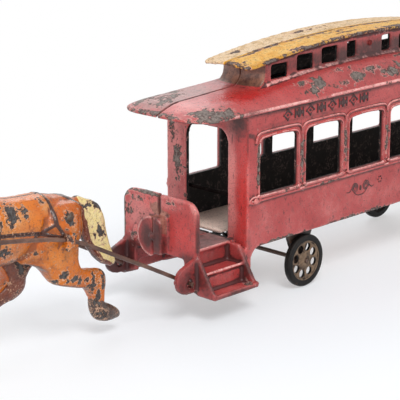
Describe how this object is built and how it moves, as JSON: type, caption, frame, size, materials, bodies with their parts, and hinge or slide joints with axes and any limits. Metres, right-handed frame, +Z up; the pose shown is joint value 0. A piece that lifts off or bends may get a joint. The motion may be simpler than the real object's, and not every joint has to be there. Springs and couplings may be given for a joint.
{
  "type": "cast iron horse-drawn trolley toy",
  "caption": "Cast iron toy street car with open platforms and a raised clerestory roof, drawn by a galloping horse on wire shafts with a small running wheel.",
  "frame": {"origin": "centre of the bounding box's base, on the surface that the wheels stand on", "axes": "+X runs from the horse to the car's rear end, +Z is up, and the side that the picture shows faces -Y"},
  "size_m": [0.3689, 0.0606, 0.0995],
  "materials": {
    "red_paint_on_iron": "worn red paint",
    "orange_paint_on_iron": "worn orange paint",
    "bare_iron": "dark, aged",
    "worn_floor_iron": "worn",
    "dark_wire": "dark wire with red paint left on it"
  },
  "bodies": {
    "car": {"near_side_casting": "red_paint_on_iron", "far_side_casting": "red_paint_on_iron", "floor_plate": "worn_floor_iron", "front_truck_frame": "bare_iron", "rear_truck_frame": "bare_iron", "front_truck_rivet": "bare_iron", "rear_truck_rivet": "bare_iron", "front_tie_rod": "bare_iron", "rear_tie_rod": "bare_iron", "roof_tie_rod": "bare_iron"},
    "front_wheelset": {"front_axle": "bare_iron", "front_near_wheel": "bare_iron", "front_far_wheel": "bare_iron"},
    "rear_wheelset": {"rear_axle": "bare_iron", "rear_near_wheel": "bare_iron", "rear_far_wheel": "bare_iron"},
    "team": {"near_shaft": "dark_wire", "far_shaft": "dark_wire", "near_horse_half": "orange_paint_on_iron", "far_horse_half": "orange_paint_on_iron", "horse_rump_rivet": "bare_iron", "horse_shoulder_rivet": "bare_iron", "horse_wheel_pin": "bare_iron"},
    "running_wheel": {"horse_wheel": "bare_iron"}
  },
  "joints": [
    {"name": "front_axle_spin", "type": "hinge", "parent": "car", "child": "front_wheelset", "pos_m": [0.0087, 0, 0.011], "axis": [0, 1, 0], "continuous": true},
    {"name": "rear_axle_spin", "type": "hinge", "parent": "car", "child": "rear_wheelset", "pos_m": [0.1114, 0, 0.011], "axis": [0, 1, 0], "continuous": true},
    {"name": "team_hinge", "type": "hinge", "parent": "car", "child": "team", "pos_m": [-0.05735, 0, 0.0164], "axis": [0, 1, 0], "range_deg": [-75, 40]},
    {"name": "horse_wheel_spin", "type": "hinge", "parent": "team", "child": "running_wheel", "pos_m": [-0.15595, 0, 0.007], "axis": [0, 1, 0], "continuous": true}
  ]
}
